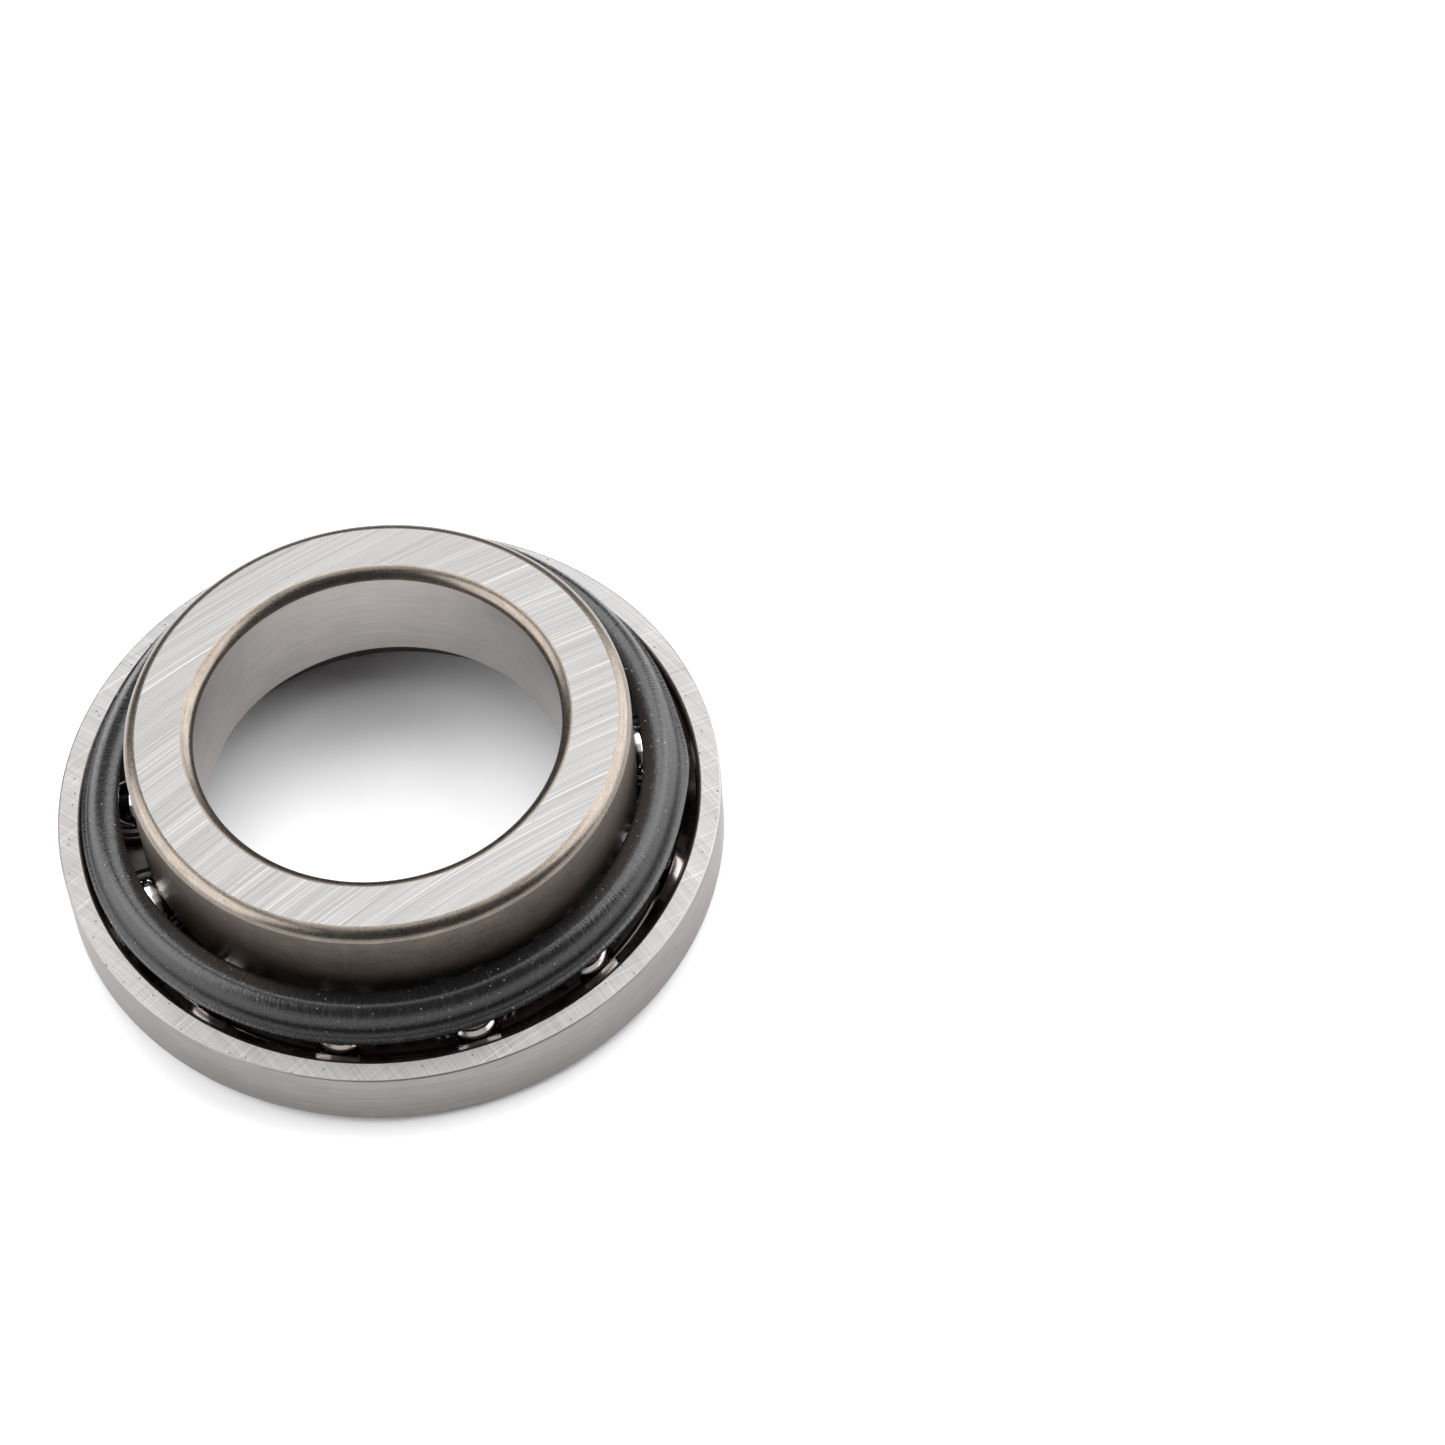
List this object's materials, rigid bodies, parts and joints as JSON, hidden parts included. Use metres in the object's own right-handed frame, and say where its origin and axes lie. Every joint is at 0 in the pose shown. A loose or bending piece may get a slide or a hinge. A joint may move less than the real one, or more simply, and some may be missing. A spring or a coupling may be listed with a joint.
{
  "type": "angular contact ball bearing",
  "caption": "Separable angular contact ball bearing with a high-shoulder inner ring, a shallow outer ring, a moulded cage with polished balls and a loose rubber dust seal.",
  "frame": {"origin": "on the bore's axis, at the outer ring's bottom face, which the bearing stands on", "axes": "+Z along the bore's axis, towards the inner ring's high shoulder"},
  "size_m": [0.055, 0.055, 0.017],
  "materials": {
    "outer_ring_steel": "ground faces, satin outside",
    "inner_ring_steel": "ground face, darker heat-tinted hard-turned edges",
    "ball_steel": "lapped and polished",
    "cage_polyamide": "moulded, oiled, very dark brown",
    "seal_rubber": "moulded nitrile rubber, satin black"
  },
  "bodies": {
    "outer_ring": {"outer_ring": "outer_ring_steel"},
    "inner_ring": {"inner_ring": "inner_ring_steel"},
    "cage": {"cage": "cage_polyamide"},
    "ball_01": {"ball_01": "ball_steel"},
    "ball_02": {"ball_02": "ball_steel"},
    "ball_03": {"ball_03": "ball_steel"},
    "ball_04": {"ball_04": "ball_steel"},
    "ball_05": {"ball_05": "ball_steel"},
    "ball_06": {"ball_06": "ball_steel"},
    "ball_07": {"ball_07": "ball_steel"},
    "ball_08": {"ball_08": "ball_steel"},
    "ball_09": {"ball_09": "ball_steel"},
    "ball_10": {"ball_10": "ball_steel"},
    "ball_11": {"ball_11": "ball_steel"},
    "ball_12": {"ball_12": "ball_steel"},
    "ball_13": {"ball_13": "ball_steel"},
    "dust_seal": {"dust_seal": "seal_rubber"}
  },
  "joints": [
    {"name": "inner_ring_spin", "type": "hinge", "parent": "outer_ring", "child": "inner_ring", "pos_m": [0, 0, 0.011], "axis": [0, 0, 1], "continuous": true},
    {"name": "cage_spin", "type": "hinge", "parent": "outer_ring", "child": "cage", "pos_m": [0, 0, 0.0045], "axis": [0, 0, 1], "continuous": true},
    {"name": "ball_01_roll", "type": "hinge", "parent": "cage", "child": "ball_01", "pos_m": [-0.01258, -0.01731, 0.0045], "axis": [-0.3778, -0.52, 0.766], "continuous": true},
    {"name": "ball_02_roll", "type": "hinge", "parent": "cage", "child": "ball_02", "pos_m": [-0.00309, -0.02118, 0.0045], "axis": [-0.0929, -0.636, 0.766], "continuous": true},
    {"name": "ball_03_roll", "type": "hinge", "parent": "cage", "child": "ball_03", "pos_m": [0.0071, -0.02019, 0.0045], "axis": [0.2133, -0.6063, 0.766], "continuous": true},
    {"name": "ball_04_roll", "type": "hinge", "parent": "cage", "child": "ball_04", "pos_m": [0.01567, -0.01457, 0.0045], "axis": [0.4707, -0.4377, 0.766], "continuous": true},
    {"name": "ball_05_roll", "type": "hinge", "parent": "cage", "child": "ball_05", "pos_m": [0.02065, -0.00562, 0.0045], "axis": [0.6202, -0.1689, 0.766], "continuous": true},
    {"name": "ball_06_roll", "type": "hinge", "parent": "cage", "child": "ball_06", "pos_m": [0.0209, 0.00462, 0.0045], "axis": [0.6276, 0.1387, 0.766], "continuous": true},
    {"name": "ball_07_roll", "type": "hinge", "parent": "cage", "child": "ball_07", "pos_m": [0.01636, 0.0138, 0.0045], "axis": [0.4913, 0.4145, 0.766], "continuous": true},
    {"name": "ball_08_roll", "type": "hinge", "parent": "cage", "child": "ball_08", "pos_m": [0.00807, 0.01982, 0.0045], "axis": [0.2424, 0.5953, 0.766], "continuous": true},
    {"name": "ball_09_roll", "type": "hinge", "parent": "cage", "child": "ball_09", "pos_m": [-0.00207, 0.0213, 0.0045], "axis": [-0.062, 0.6398, 0.766], "continuous": true},
    {"name": "ball_10_roll", "type": "hinge", "parent": "cage", "child": "ball_10", "pos_m": [-0.01173, 0.0179, 0.0045], "axis": [-0.3523, 0.5377, 0.766], "continuous": true},
    {"name": "ball_11_roll", "type": "hinge", "parent": "cage", "child": "ball_11", "pos_m": [-0.0187, 0.0104, 0.0045], "axis": [-0.5618, 0.3124, 0.766], "continuous": true},
    {"name": "ball_12_roll", "type": "hinge", "parent": "cage", "child": "ball_12", "pos_m": [-0.02139, 0.00052, 0.0045], "axis": [-0.6426, 0.0155, 0.766], "continuous": true},
    {"name": "ball_13_roll", "type": "hinge", "parent": "cage", "child": "ball_13", "pos_m": [-0.01918, -0.00948, 0.0045], "axis": [-0.5762, -0.2849, 0.766], "continuous": true},
    {"name": "seal_lift", "type": "slide", "parent": "outer_ring", "child": "dust_seal", "axis": [0, 0, 1], "range_m": [0, 0.012]}
  ],
  "couplings": [
    {"joint": "cage_spin", "follows": "inner_ring_spin", "ratio": 0.45028},
    {"joint": "ball_01_roll", "follows": "inner_ring_spin", "ratio": -3.8136},
    {"joint": "ball_02_roll", "follows": "inner_ring_spin", "ratio": -3.8136},
    {"joint": "ball_03_roll", "follows": "inner_ring_spin", "ratio": -3.8136},
    {"joint": "ball_04_roll", "follows": "inner_ring_spin", "ratio": -3.8136},
    {"joint": "ball_05_roll", "follows": "inner_ring_spin", "ratio": -3.8136},
    {"joint": "ball_06_roll", "follows": "inner_ring_spin", "ratio": -3.8136},
    {"joint": "ball_07_roll", "follows": "inner_ring_spin", "ratio": -3.8136},
    {"joint": "ball_08_roll", "follows": "inner_ring_spin", "ratio": -3.8136},
    {"joint": "ball_09_roll", "follows": "inner_ring_spin", "ratio": -3.8136},
    {"joint": "ball_10_roll", "follows": "inner_ring_spin", "ratio": -3.8136},
    {"joint": "ball_11_roll", "follows": "inner_ring_spin", "ratio": -3.8136},
    {"joint": "ball_12_roll", "follows": "inner_ring_spin", "ratio": -3.8136},
    {"joint": "ball_13_roll", "follows": "inner_ring_spin", "ratio": -3.8136}
  ]
}
